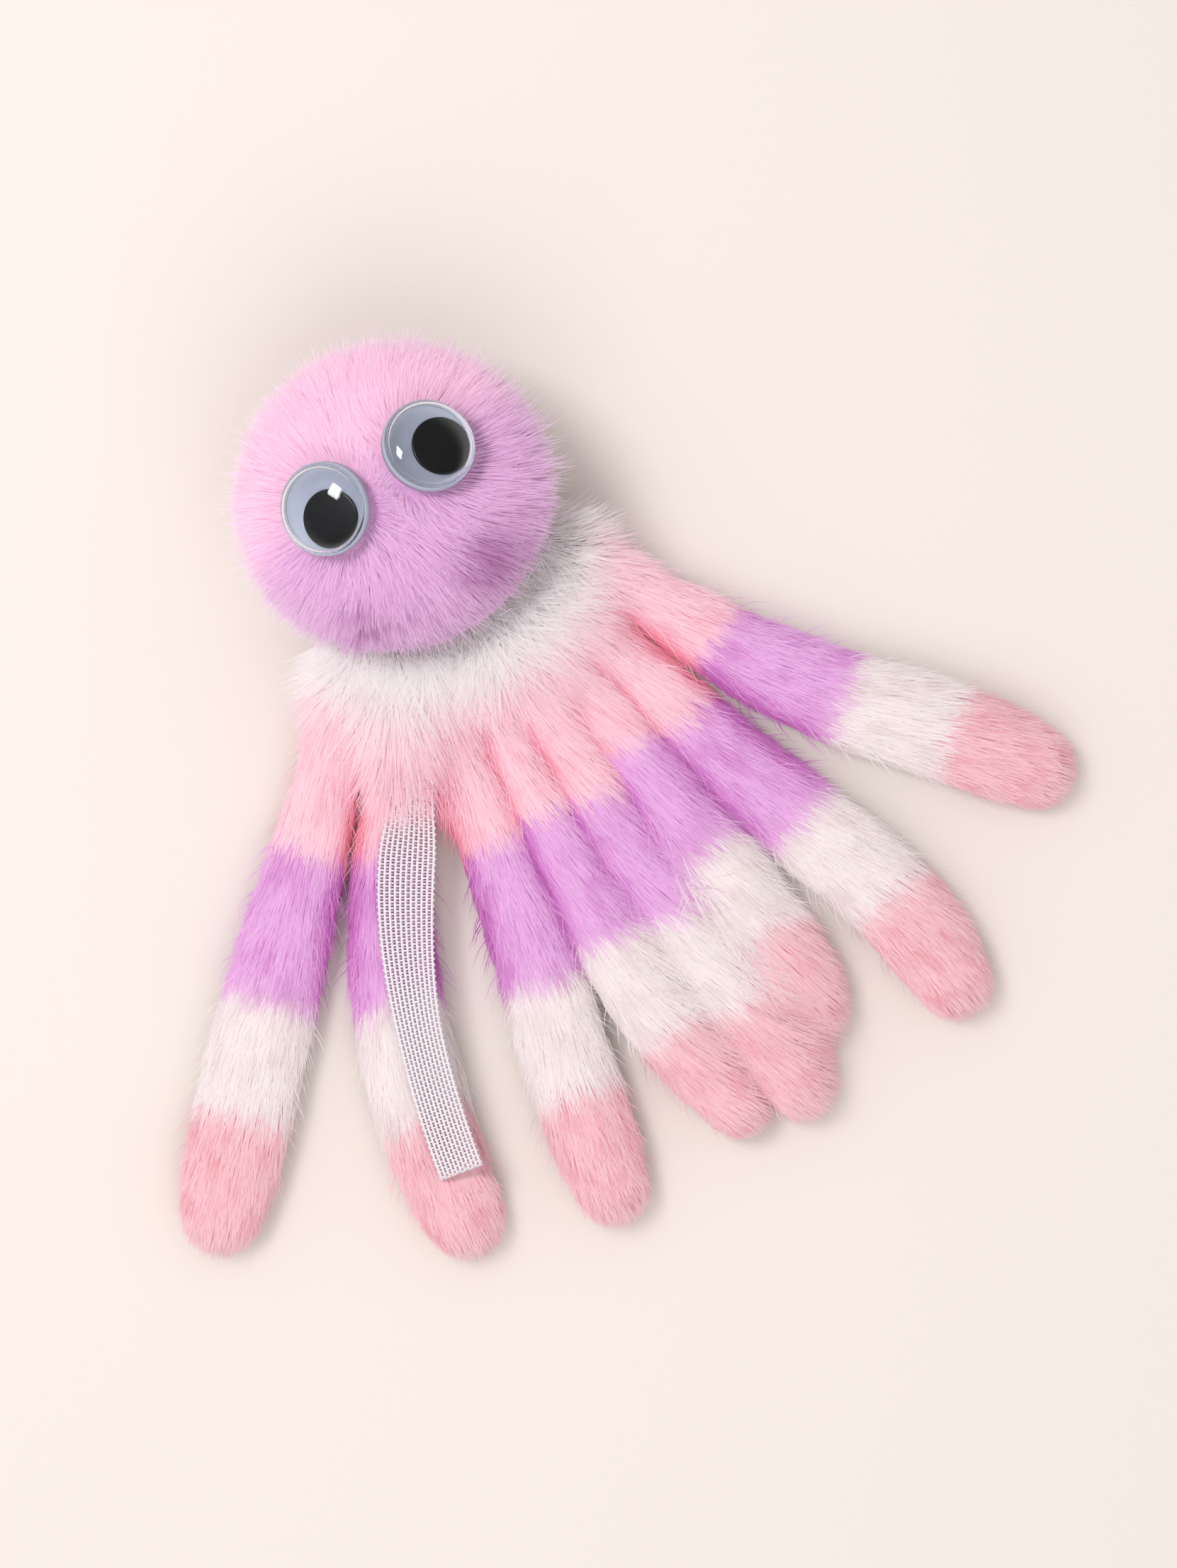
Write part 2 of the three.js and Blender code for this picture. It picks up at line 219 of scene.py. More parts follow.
# %% The legs' table
head_radius, rest_cut, fit_gap, leg_gap = 28.5 * mm, 0.5 * mm, 0.3 * mm, 0.5 * mm
head_centre = Vector((0, 0, head_radius - rest_cut))
root_radius, root_height, leg_length, open_width, open_height = 2.7 * mm, 12 * mm, 120 * mm, 15 * mm, 11.5 * mm
settle_share, tip_round_share, pressed_rise_share = 0.3, 0.55, 0.4
legs = [
    {"name": "leg_1", "headings": (42, 45, 44, 41), "length": 1, "width": 1},
    {"name": "leg_2", "headings": (24, 35, 17, 5), "length": 0.99, "width": 0.97},
    {"name": "leg_3", "headings": (12, 9, 13, 9), "length": 0.975, "width": 0.87},
    {"name": "leg_4", "headings": (4, 4, -1, -19), "length": 0.935, "width": 0.77},
    {"name": "leg_5", "headings": (-4, 0, -6, -9), "length": 0.95, "width": 0.77},
    {"name": "leg_6", "headings": (-11, -7, -6, -6), "length": 0.86, "width": 0.77},
    {"name": "leg_7", "headings": (-19, -16, -22, -1), "length": 1.01, "width": 0.93},
    {"name": "leg_8", "headings": (-36, -28, -43, -36), "length": 0.94, "width": 1},
]
swell_places = (0, 0.1, 0.2, 0.3, 0.4, 0.52, 0.66, 0.84, 1)
swell_shares = (0, 0.18, 0.38, 0.56, 0.7, 0.86, 1, 0.96, 0.7)
root_drop = head_centre.z - root_height
root_reach = math.sqrt((head_radius + fit_gap + root_radius) ** 2 - root_drop**2)
root_pitch = 2 * math.asin((2 * root_radius + leg_gap) / 2 / root_reach)
for i, leg in enumerate(legs):
    turn = ((len(legs) - 1) / 2 - i) * root_pitch
    leg["root"] = np.array((-math.sin(turn) * root_reach, -math.cos(turn) * root_reach, root_height))
    leg["length"] *= leg_length
    leg["width"] *= open_width
print(f"{len(legs)} roots, {math.degrees(root_pitch):.1f} degrees apart")

# %% The legs' lines
line_steps = 240
upright = np.array((0, 0, 1.0))


def eased(value, low, high):
    """0 below low, 1 above high, and a soft rise between."""
    share = np.clip((value - low) / (high - low), 0, 1)
    return share * share * (3 - 2 * share)


def stretch(value, rise, fall):
    """1 after a rise and before a fall, and 0 outside them."""
    return eased(value, *rise) * (1 - eased(value, *fall))


def leg_size(leg, share):
    """The leg's width and height at these shares of its length."""
    swell = np.interp(share, swell_places, swell_shares)
    full_height = open_height + pressed_rise_share * (open_width - leg["width"])
    return (2 * root_radius + (full - 2 * root_radius) * swell for full in (leg["width"], full_height))


def leg_line(leg, share):
    """Places, ways along and ways aside at these shares of the leg's length."""
    walked = np.linspace(0, 1, line_steps + 1)
    heading = np.radians(np.interp(walked, (0, 1 / 3, 2 / 3, 1), leg["headings"]))
    step = (heading[1:] + heading[:-1]) / 2
    stride = leg["length"] / line_steps
    x = np.concatenate(([0], np.cumsum(-np.sin(step) * stride))) + leg["root"][0]
    y = np.concatenate(([0], np.cumsum(-np.cos(step) * stride))) + leg["root"][1]
    turned = np.interp(share, walked, heading)
    _, height = leg_size(leg, share)
    z = root_height + (height / 2 - rest_cut - root_height) * eased(share, 0, settle_share)
    flat = np.zeros_like(turned)
    places = np.stack((np.interp(share, walked, x), np.interp(share, walked, y), z), axis=-1)
    along = np.stack((-np.sin(turned), -np.cos(turned), flat), axis=-1)
    aside = np.stack((np.cos(turned), -np.sin(turned), flat), axis=-1)
    return places, along, aside


for leg in legs:
    end = leg_line(leg, np.array([1.0]))[0][0] / mm
    print(f"{leg['name']} ends at {end[0]:.0f}, {end[1]:.0f} mm")

# %% [markdown]
# ## The elastic loop
# A narrow tape of open-knit elastic, folded into a loop over the second leg. It could be a flat strip with
# a hole pattern painted on, but its holes show the pile below, so the net is real: a grid whose edges
# become yarns. Lengthways yarns are thick, crosswise ones thin, as in a knitted tape.

# %% The loop's route
tape_width, tape_root_width, tape_thickness, loop_slit = 8 * mm, 5.2 * mm, 1.2 * mm, 0.6 * mm
loop_start, loop_reach, loop_aside, pinched_share = 14 * mm, 105 * mm, 3 * mm, 0.16
carrier = legs[1]


def tape_line(share):
    """The slit's middle at these shares of the route, its ways, and how far the tape is opened there."""
    leg_share = (loop_start + (loop_reach - loop_start) * share) / carrier["length"]
    places, along, aside = leg_line(carrier, leg_share)
    opened = eased(share, 0, pinched_share)
    places = places + aside * (loop_aside * opened)[:, None]
    _, height = leg_size(carrier, leg_share)
    places[:, 2] += height / 2 + fit_gap + tape_thickness + loop_slit / 2
    return places, along, aside, opened


route = tape_line(np.linspace(0, 1, 40))[0]
route_length = float(np.linalg.norm(np.diff(route, axis=0), axis=1).sum())
print(f"the loop reaches {route_length / mm:.1f} mm from where its ends are sewn down")

# %% The loop as a grid
wales, course, fold_steps = 11, 0.6 * mm, 6
fanned_width, fan_rise, fan_fall = 2.4 * mm, (0.16, 0.32), (0.35, 0.75)


def tape_grid():
    """The lower layer, the fold and the upper layer as one long grid of points."""
    courses = int(route_length / course)
    share = np.linspace(0, 1, courses)
    places, along, aside, opened = tape_line(share)
    half_gap = (loop_slit + tape_thickness) / 2
    width = tape_root_width + (tape_width - tape_root_width) * opened
    width = width + fanned_width * stretch(share, fan_rise, fan_fall)
    across = np.linspace(-0.5, 0.5, wales)
    lower, upper = (
        [places[i] + upright * gap + aside[i] * (across * width[i])[:, None] for i in range(courses)]
        for gap in (-half_gap, half_gap))
    fold = []
    for angle in np.linspace(0, math.pi, fold_steps)[1:-1]:
        outward = -math.cos(angle) * upright + math.sin(angle) * along[-1]
        fold.append(places[-1] + outward * half_gap + aside[-1] * (across * width[-1])[:, None])
    return np.array(lower + fold + upper[::-1])


rows = tape_grid()
count = len(rows)
print(f"{wales} wales, {count} courses")

# %% The loop as a net
main_stitch, small_stitch, picot_stitch, picot = 1.35, 0.85, 0.8, 0.45 * mm
points = rows.reshape(-1, 3).tolist()
stitches = [small_stitch if (r + w) % 2 else main_stitch for r in range(count) for w in range(wales)]
edges, kinds = [], []
for r in range(0, count - 1, 2):
    for edge, inner in ((0, 1), (wales - 1, wales - 2)):
        halfway = (rows[r, edge] + rows[r + 1, edge]) / 2
        out = rows[r, edge] - rows[r, inner]
        points.append((halfway + out / np.linalg.norm(out) * picot).tolist())
        stitches.append(picot_stitch)
        edges += [(r * wales + edge, len(points) - 1), (len(points) - 1, (r + 1) * wales + edge)]
        kinds += [0.0, 0.0]
for r in range(count):
    for w in range(wales):
        if r + 1 < count:
            edges.append((r * wales + w, (r + 1) * wales + w))
            kinds.append(1.0)
        if w + 1 < wales and (r + w) % 2 == 0:
            edges.append((r * wales + w, r * wales + w + 1))
            kinds.append(0.0)
net = bpy.data.meshes.new("net")
net.from_pydata(points, edges, [])
net.attributes.new("lengthways", "FLOAT", "EDGE").data.foreach_set("value", kinds)
net.attributes.new("stitch", "FLOAT", "POINT").data.foreach_set("value", stitches)
print(f"{len(edges)} stretches of yarn")


# %% The loop's yarns
def yarn_tree():
    tree = bpy.data.node_groups.new("knitted_tape", "GeometryNodeTree")
    face = tree.interface
    face.new_socket("Edges", in_out="INPUT", socket_type="NodeSocketGeometry")
    for name, radius in (("Wale radius", 0.21 * mm), ("Cross radius", 0.17 * mm)):
        face.new_socket(name, in_out="INPUT", socket_type="NodeSocketFloat").default_value = radius
    face.new_socket("Finish", in_out="INPUT", socket_type="NodeSocketMaterial")
    face.new_socket("Yarns", in_out="OUTPUT", socket_type="NodeSocketGeometry")
    given = add(tree, "NodeGroupInput").outputs
    joined = add(tree, "GeometryNodeJoinGeometry")
    for radius, sides, kept in (("Wale radius", 6, "GREATER_THAN"), ("Cross radius", 4, "LESS_THAN")):
        picked = calculate(tree, kept, carried(tree, "lengthways"), 0.5)
        lines = add(tree, "GeometryNodeMeshToCurve", {"Mesh": given["Edges"], "Selection": picked})
        ring = add(tree, "GeometryNodeCurvePrimitiveCircle", {"Resolution": sides, "Radius": given[radius]})
        tube = add(tree, "GeometryNodeCurveToMesh", {
            "Curve": lines.outputs[0], "Profile Curve": ring.outputs[0],
            "Scale": carried(tree, "stitch"), "Fill Caps": True})
        tree.links.new(tube.outputs[0], joined.inputs[0])
    smooth = add(tree, "GeometryNodeSetShadeSmooth", {0: joined.outputs[0]})
    plain = add(tree, "GeometryNodeRealizeInstances", {0: smooth.outputs[0]})
    worn = add(tree, "GeometryNodeSetMaterial", {"Geometry": plain.outputs[0], "Material": given["Finish"]})
    add(tree, "NodeGroupOutput", {0: worn.outputs[0]})
    return tree


def object_from(name, mesh):
    made = bpy.data.objects.new(name, mesh)
    bpy.context.scene.collection.objects.link(made)
    return made


def set_input(modifier, name, value):
    for item in modifier.node_group.interface.items_tree:
        if item.item_type == "SOCKET" and item.in_out == "INPUT" and item.name == name:
            modifier[item.identifier] = value


def grown(name, source, tree, values):
    """The plain mesh that a tree makes of a source mesh."""
    bearer = object_from("source", source)
    modifier = bearer.modifiers.new("tree", "NODES")
    modifier.node_group = tree
    for key, value in values.items():
        set_input(modifier, key, value)
    bpy.context.view_layer.update()
    evaluated = bearer.evaluated_get(bpy.context.evaluated_depsgraph_get())
    mesh = bpy.data.meshes.new_from_object(evaluated)
    mesh.name = name
    bearer.modifiers.remove(modifier)
    bpy.data.objects.remove(bearer)
    return mesh


elastic_finish, tree, shader = material_with("elastic_yarn", Roughness=0.8, Sheen_Weight=0.15)
speckle(tree, shader, linear(240, 228, 238), linear(254, 250, 252), scale=900.0, detail=3.0)
tape_mesh = grown("elastic_tape", net, yarn_tree(), {"Finish": elastic_finish})
tape = object_from("elastic_tape", tape_mesh)
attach(tape, "elastic")
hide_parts("elastic_loop")
print(f"elastic: {len(tape_mesh.polygons)} faces")

# %% [markdown]
# ## Pile
# Long pile is thousands of fine fibres that lean one way and stick together in tufts. Hair curves would be
# the usual way, but a part that leaves the scene has to be a mesh. So a tree scatters small bent ribbons
# over a skin: each takes the skin's lean, a pull towards the nearest tuft and a little disorder. A ribbon
# that turns its back to the light would look like a dark hair, so ribbons and their normals lean to the sky.


# %% One strand
def ribbon(tree, bow):
    """A ribbon along Z, tapered to its tip and bowed away from the lean."""
    sheet = add(tree, "GeometryNodeMeshGrid", {"Size X": 1.0, "Size Y": 1.0, "Vertices X": 2, "Vertices Y": 3})
    flat = add(tree, "ShaderNodeSeparateXYZ", {0: add(tree, "GeometryNodeInputPosition").outputs[0]}).outputs
    up = calculate(tree, "ADD", flat["Y"], 0.5)
    taper = calculate(tree, "SUBTRACT", 1.0, calculate(tree, "POWER", up, 2.5))
    arch = product(tree, up, calculate(tree, "SUBTRACT", 1.0, up), -4.0)
    bent = add(tree, "ShaderNodeCombineXYZ", {
        "X": product(tree, arch, bow), "Y": product(tree, flat["X"], taper, -1.0), "Z": up})
    marked = stored(tree, sheet.outputs["Mesh"], "tip", up)
    marked = stored(tree, marked, "side", calculate(tree, "ADD", flat["X"], 0.5))
    strand = add(tree, "GeometryNodeSetPosition", {"Geometry": marked, "Position": bent.outputs[0]})
    strand = add(tree, "GeometryNodeMergeByDistance", {"Geometry": strand.outputs[0], "Distance": 0.001})
    return add(tree, "GeometryNodeSetShadeSmooth", {0: strand.outputs[0]}).outputs[0]


# %% The pile's tree
pile_inputs = (
    ("Strands per square metre", 4.6e6),
    ("Tufts per square metre", 1.5e5),
    ("Length", 8 * mm),
    ("Width", 0.2 * mm),
    ("Tuft pull", 0.22),
    ("Disorder", 0.09),
    ("Swirl", 0.3),
    ("Bow", 0.1),
    ("Stray share", 0.03),
    ("Stray lift", 0.3),
    ("Evenness", 0.8),
    ("Glow", 1.0),
    ("Lowest", 0.25 * mm),
)
swirl_scale, most_twist, length_spread, bald_below, resting_depth = 110.0, 0.35, (0.7, 1.12), 0.04, 0.6 * mm
seeds = {"tufts": 50.0, "disorder": 7, "stray": 21, "twist": 3, "length": 5, "tuft": 13, "strand": 11}


def pile_tree():
    tree = bpy.data.node_groups.new("pile", "GeometryNodeTree")
    face = tree.interface
    face.new_socket("Skin", in_out="INPUT", socket_type="NodeSocketGeometry")
    for name, value in pile_inputs:
        face.new_socket(name, in_out="INPUT", socket_type="NodeSocketFloat").default_value = value
    face.new_socket("Seed", in_out="INPUT", socket_type="NodeSocketInt").default_value = 1
    face.new_socket("Finish", in_out="INPUT", socket_type="NodeSocketMaterial")
    face.new_socket("Pile", in_out="OUTPUT", socket_type="NodeSocketGeometry")
    given = add(tree, "NodeGroupInput").outputs

    def vectors(operation, a, b=(0, 0, 0)):
        return add(tree, "ShaderNodeVectorMath", {0: a, 1: b}, operation=operation).outputs[0]

    def scaled(vector, factor):
        return add(tree, "ShaderNodeVectorMath", {0: vector, 3: factor}, operation="SCALE").outputs[0]

    def blended(a, b, share):
        """The vector a where the share is 1, and b where it is 0."""
        return vectors("ADD", scaled(a, share), scaled(b, calculate(tree, "SUBTRACT", 1.0, share)))

    def chance(low, high, seed, **by):
        span = {2: low, 3: high, "Seed": seeds[seed], **by}
        return add(tree, "FunctionNodeRandomValue", span, data_type="FLOAT").outputs[1]

    # where the strands stand, and the middle of each one's tuft
    own_normal = add(tree, "GeometryNodeInputNormal").outputs[0]
    place = add(tree, "GeometryNodeInputPosition").outputs[0]
    skin = stored(tree, given["Skin"], "facing", own_normal, "FLOAT_VECTOR")
    facing = carried(tree, "facing", "FLOAT_VECTOR")
    spots = add(tree, "GeometryNodeDistributePointsOnFaces", {
        "Mesh": skin, "Seed": given["Seed"],
        "Density": product(tree, given["Strands per square metre"], carried(tree, "thick"))})
    tufts = add(tree, "GeometryNodeDistributePointsOnFaces", {
        "Mesh": given["Skin"], "Seed": calculate(tree, "ADD", given["Seed"], seeds["tufts"]),
        "Density": given["Tufts per square metre"]}).outputs["Points"]
    nearest = add(tree, "GeometryNodeSampleNearest", {"Geometry": tufts}, domain="POINT").outputs[0]
    centre = add(tree, "GeometryNodeSampleIndex", {
        "Geometry": tufts, "Value": place, "Index": nearest}, data_type="FLOAT_VECTOR", domain="POINT")

    # the way that each strand leans
    pull = calculate(tree, "DIVIDE", given["Tuft pull"], given["Length"])
    pull = scaled(vectors("SUBTRACT", centre.outputs[0], place), pull)
    span = {0: (-1, -1, -1), 1: (1, 1, 1), "Seed": seeds["disorder"]}
    noise = add(tree, "FunctionNodeRandomValue", span, data_type="FLOAT_VECTOR")
    stray = calculate(tree, "LESS_THAN", chance(0.0, 1.0, "stray"), given["Stray share"])
    lean = calculate(tree, "SUBTRACT", carried(tree, "lean"), product(tree, stray, given["Stray lift"]))
    way = blended(carried(tree, "comb", "FLOAT_VECTOR"), facing, lean)
    flow = add(tree, "ShaderNodeTexNoise", {"Vector": place, "Scale": swirl_scale, "Detail": 1.0})
    flow = scaled(vectors("SUBTRACT", flow.outputs["Color"], (0.5, 0.5, 0.5)), given["Swirl"])
    disorder = scaled(noise.outputs[0], given["Disorder"])
    way = vectors("ADD", vectors("ADD", way, pull), vectors("ADD", flow, disorder))

    # each ribbon stands along its way, turns to the light, and is twisted a little
    upward = add(tree, "ShaderNodeCombineXYZ", {"Z": given["Glow"]}).outputs[0]
    sunward = vectors("ADD", facing, upward)
    turned = add(tree, "FunctionNodeAlignRotationToVector", {"Vector": vectors("NORMALIZE", way)}, axis="Z")
    turned = add(tree, "FunctionNodeAlignRotationToVector", {
        "Rotation": turned.outputs[0], "Vector": scaled(sunward, -1.0)}, axis="X", pivot_axis="Z")
    twist = chance(-most_twist, most_twist, "twist")
    twist = add(tree, "FunctionNodeAxisAngleToRotation", {"Axis": (0, 0, 1), "Angle": twist})
    turned = add(tree, "FunctionNodeRotateRotation", {
        "Rotation": turned.outputs[0], "Rotate By": twist.outputs[0]}, rotation_space="LOCAL")
    long = product(tree, given["Length"], carried(tree, "pile"), chance(*length_spread, "length"))
    size = add(tree, "ShaderNodeCombineXYZ", {"X": long, "Y": given["Width"], "Z": long})
    named = stored(tree, spots.outputs["Points"], "tuft", chance(0.0, 1.0, "tuft", ID=nearest))
    named = stored(tree, named, "strand", chance(0.0, 1.0, "strand"))
    placed = add(tree, "GeometryNodeInstanceOnPoints", {
        "Points": named, "Selection": calculate(tree, "GREATER_THAN", carried(tree, "pile"), bald_below),
        "Instance": ribbon(tree, given["Bow"]), "Rotation": turned.outputs[0], "Scale": size.outputs[0]})
    real = add(tree, "GeometryNodeRealizeInstances", {0: placed.outputs[0]})

    # nothing goes through the surface that the toy lies on
    here = add(tree, "ShaderNodeSeparateXYZ", {0: place}).outputs
    lowest = calculate(tree, "ADD", given["Lowest"], product(tree, carried(tree, "strand"), resting_depth))
    above = calculate(tree, "MAXIMUM", here["Z"], lowest)
    lifted = add(tree, "ShaderNodeCombineXYZ", {"X": here["X"], "Y": here["Y"], "Z": above})
    clear = add(tree, "GeometryNodeSetPosition", {"Geometry": real.outputs[0], "Position": lifted.outputs[0]})
    both = add(tree, "GeometryNodeJoinGeometry", {0: clear.outputs[0]})
    tree.links.new(skin, both.inputs[0])

    # the normals lean to the light too
    evened = vectors("NORMALIZE", blended(sunward, own_normal, given["Evenness"]))
    shaded = add(tree, "GeometryNodeSetMeshNormal", mode="FREE", domain="POINT")
    tree.links.new(both.outputs[0], shaded.inputs["Mesh"])
    tree.links.new(evened, shaded.inputs["Custom Normal"])
    whole = add(tree, "GeometryNodeRealizeInstances", {0: shaded.outputs[0]})
    worn = add(tree, "GeometryNodeSetMaterial", {"Geometry": whole.outputs[0], "Material": given["Finish"]})
    add(tree, "NodeGroupOutput", {0: worn.outputs[0]})
    return tree


pile = pile_tree()
print(f"the pile's tree has {len(pile.nodes)} nodes")

# %% The pile's finish
skin_mark = -1.0
skin_clear, root_clear, tip_clear, tip_start = 0.15, 0.7, 0.9, 0.4
darkest = 0.91


def read_value(tree, name):
    return add(tree, "ShaderNodeAttribute", attribute_name=name).outputs["Fac"]


def scattered(tree, value, width):
    """The value, moved a little up or down on each strand."""
    aside = calculate(tree, "SUBTRACT", read_value(tree, "strand"), 0.5)
    return calculate(tree, "ADD", value, product(tree, aside, width))


def dark_locks(tree, limit):
    """Above 0 in the tufts whose chance is below the limit."""
    return calculate(tree, "MAXIMUM", calculate(tree, "SUBTRACT", limit, read_value(tree, "tuft")), 0.0)


def fibre(tree, shader, colour, pale, paleness, chance, contrast):
    """Strands that grow paler to the tip and differ a little. Lamp rays pass a clear stand-in, which lets
    light down into the pile and makes it look soft."""
    along = read_value(tree, "tip")
    colour = mixed(tree, product(tree, along, paleness), colour, pale)
    bright = calculate(tree, "ADD", product(tree, chance, contrast), darkest)
    varied = add(tree, "ShaderNodeVectorMath", {0: colour, "Scale": bright}, operation="SCALE")
    tree.links.new(varied.outputs[0], shader.inputs["Base Color"])
    clear = add(tree, "ShaderNodeMapRange", {
        "Value": along, 1: skin_mark, 2: 0.0, 3: skin_clear, 4: root_clear}).outputs[0]
    clear = add(tree, "ShaderNodeMapRange", {
        "Value": along, 1: 0.0, 2: tip_start, 3: clear, 4: tip_clear}).outputs[0]
    clear_to_lamps(tree, shader, clear)


pile_shine = {"Roughness": 0.85, "Specular_IOR_Level": 0.2, "Sheen_Weight": 0.2}
print("a finish for every pile")


# %% A skin with its lean
def skin_mesh(name, points, faces, comb, lean, length, extra):
    """A closed skin whose points say which way the pile leans, how far, and how long it is."""
    mesh = bpy.data.meshes.new(name)
    mesh.from_pydata(points.tolist(), [], faces)
    mesh.attributes.new("comb", "FLOAT_VECTOR", "POINT").data.foreach_set("vector", comb.astype(np.float32).ravel())
    half, marked = np.full(len(points), 0.5), np.full(len(points), skin_mark)
    carries = {"lean": lean, "pile": length, "strand": half, "tuft": half, "tip": marked, "thick": 2 * half, **extra}
    for key, values in carries.items():
        mesh.attributes.new(key, "FLOAT", "POINT").data.foreach_set("value", np.asarray(values, np.float32))
    mesh.shade_smooth()
    mesh.update()
    return mesh


def ring_faces(rings, sides):
    """The faces of a closed tube: a point, rings of points and a last point."""
    last = 1 + rings * sides
    faces = []
    for i in range(sides):
        j = (i + 1) % sides
        faces.append((0, 1 + j, 1 + i))
        faces.append((last, last - sides + i, last - sides + j))
        for r in range(rings - 1):
            a, b = 1 + r * sides, 1 + (r + 1) * sides
            faces.append((a + i, a + j, b + j, b + i))
    return faces


def turned_out(mesh):
    """Turns a closed mesh's faces outwards, and gives its volume."""
    mesh.calc_loop_triangles()
    corners = np.array([[mesh.vertices[v].co for v in t.vertices] for t in mesh.loop_triangles])
    volume = float(np.einsum("ij,ij->i", corners[:, 0], np.cross(corners[:, 1], corners[:, 2])).sum() / 6)
    if volume < 0:
        mesh.flip_normals()
    return abs(volume)


# %% The pile's map
cell_margin = 0.12


def lay_out(mesh, skin):
    """Gives each strand and each face of the skin a cell of its own on the map, so that no two share a spot."""
    faces, corners, skin_faces = len(mesh.polygons), len(mesh.loops), len(skin.polygons)
    strand_faces = faces - skin_faces
    sizes, points = np.empty(faces, np.int32), np.empty(corners, np.int32)
    mesh.polygons.foreach_get("loop_total", sizes)
    mesh.loops.foreach_get("vertex_index", points)
    up, side = (np.empty(len(mesh.vertices), np.float32) for _ in range(2))
    mesh.attributes["tip"].data.foreach_get("value", up)
    mesh.attributes["side"].data.foreach_get("value", side)
    skin_first = (mesh.vertices[0].co - skin.vertices[0].co).length < 1e-7
    skin_start, strand_start = (0, skin_faces) if skin_first else (strand_faces, 0)
    face = np.arange(faces)
    in_skin = (face >= skin_start) & (face < skin_start + skin_faces)
    strands = strand_faces // 2
    cell = np.where(in_skin, face - skin_start + strands, (face - strand_start) // 2)
    cells_across = math.ceil(math.sqrt(strands + skin_faces))
    starts = np.concatenate(([0], np.cumsum(sizes)[:-1]))
    order = np.arange(corners) - np.repeat(starts, sizes)
    on_skin, cell = np.repeat(in_skin, sizes), np.repeat(cell, sizes)
    across = np.where(on_skin, np.array((0, 1, 1, 0))[order], side[points])
    along = np.where(on_skin, np.array((0, 0, 1, 1))[order], up[points])
    corner = np.stack((cell % cells_across, cell // cells_across), axis=-1)
    place = corner + cell_margin + np.stack((across, along), axis=-1) * (1 - 2 * cell_margin)
    mesh.uv_layers.new(name="OFBake").data.foreach_set("uv", (place / cells_across).astype(np.float32).ravel())


# %% [markdown]
# ## Legs
# A leg is a narrow tube of banded pile: white at the neck, pink, lilac, white and a pink tip. The skin is a
# swept tube like the solid, with its underside lifted so that the pile fits below. The bands come from each
# point's share of the leg's length, which every strand takes along from its root, so the strands carry one
# colour over the edge of the next. The tone is deeper in some tufts, and painted shade deepens it on the
# flanks where two legs meet, as if in the shadow between them.

# %% The legs' finish
leg_finish, tree, shader = material_with("banded_pile", **pile_shine)
white_tone, pink_tone, lilac_tone, tip_tone = (
    linear(246, 236, 235), linear(253, 211, 223), linear(235, 174, 230), linear(247, 197, 206))
# painted light: the ruff at the neck lies in the head's shade, so its white is painted paler than the white band
lit_collar_tone = linear(255, 249, 249)
stops = (
    (0.0, lit_collar_tone), (0.055, lit_collar_tone), (0.11, pink_tone), (0.325, pink_tone), (0.35, lilac_tone),
    (0.57, lilac_tone), (0.595, white_tone), (0.765, white_tone), (0.79, tip_tone), (1.0, tip_tone))
bands = add(tree, "ShaderNodeValToRGB", {0: scattered(tree, read_value(tree, "share"), 0.025)})
ramp = bands.color_ramp
ramp.elements[0].position, ramp.elements[0].color = stops[0]
ramp.elements[1].position, ramp.elements[1].color = stops[-1]
for place, colour in stops[1:-1]:
    ramp.elements.new(place).color = colour
gap_shade_depth, lock_depth = 2.6, 1.3
# painted shade: strands on the flanks where two legs meet are deepened, as if in the shadow between the legs
depth = calculate(tree, "ADD", 1.0, product(tree, read_value(tree, "gap_shade"), gap_shade_depth))
depth = calculate(tree, "ADD", depth, product(tree, dark_locks(tree, 0.35), lock_depth))
deeper = add(tree, "ShaderNodeGamma", {0: bands.outputs[0], 1: depth}).outputs[0]
chance = calculate(tree, "ADD", read_value(tree, "strand"), read_value(tree, "tuft"))
fibre(tree, shader, deeper, pale=linear(255, 246, 250), paleness=0.25, chance=chance, contrast=0.05)
print(f"{len(stops) // 2} bands along a leg")

# %% The legs' skins
leg_rings, leg_sides, cap_rings = 54, 26, 5
root_proud, proud_rise, lying_height = -0.4 * mm, 1.3 * mm, 1.8 * mm


def leg_profile(leg):
    """From cap to cap, each ring's share of the length, its place beyond that and its scale."""
    tip_length = tip_round_share * (2 * root_radius + (leg["width"] - 2 * root_radius) * swell_shares[-1])
    shaft = 1 - tip_length / leg["length"]
    quarter = [math.pi / 2 * i / cap_rings for i in range(cap_rings + 1)]
    rows = [(0, -root_radius * math.cos(angle), math.sin(angle)) for angle in quarter[:-1]]
    rows += [(shaft * i / leg_rings, 0, 1) for i in range(leg_rings + 1)]
    rows += [(shaft, tip_length * math.sin(angle), math.cos(angle)) for angle in quarter[1:]]
    return *np.array(rows).T, tip_length


